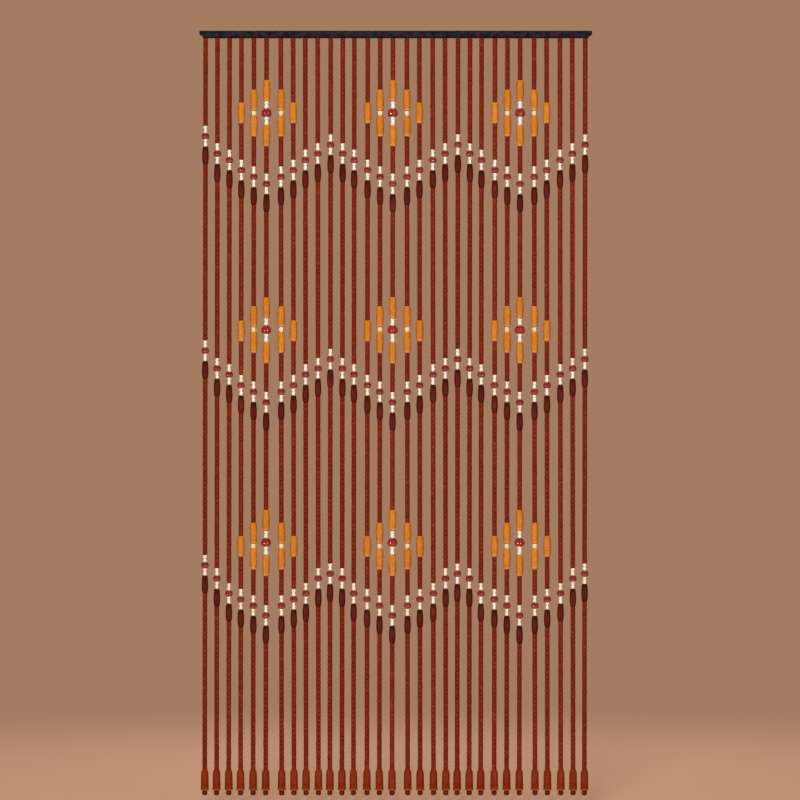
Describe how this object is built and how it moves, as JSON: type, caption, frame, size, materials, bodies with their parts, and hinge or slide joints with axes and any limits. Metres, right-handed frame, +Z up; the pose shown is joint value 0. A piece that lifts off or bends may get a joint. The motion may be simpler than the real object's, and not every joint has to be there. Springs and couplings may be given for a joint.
{
  "type": "bead curtain with header rail",
  "caption": "Door curtain of threaded wooden beads: strands hang side by side from a header rail, patterned with zigzag bands and small flowers, each ending in a turned bell bead.",
  "frame": {"origin": "middle of the header rail's flat top face; the curtain hangs below it", "axes": "+Z up along the strands, +X to the right along the rail as seen from the front, the front faces -Y"},
  "size_m": [0.908, 0.0236, 1.7687],
  "materials": {
    "red_brown_wood": "glossy lacquer",
    "slate_rail": "satin paint",
    "yellow_wood": "glossy lacquer",
    "white_wood": "glossy lacquer",
    "crimson_wood": "glossy lacquer",
    "maroon_wood": "glossy lacquer",
    "thread": "waxed twine"
  },
  "bodies": {
    "root": {"header_rail": "slate_rail", "bead_strands": "red_brown_wood"}
  },
  "joints": []
}
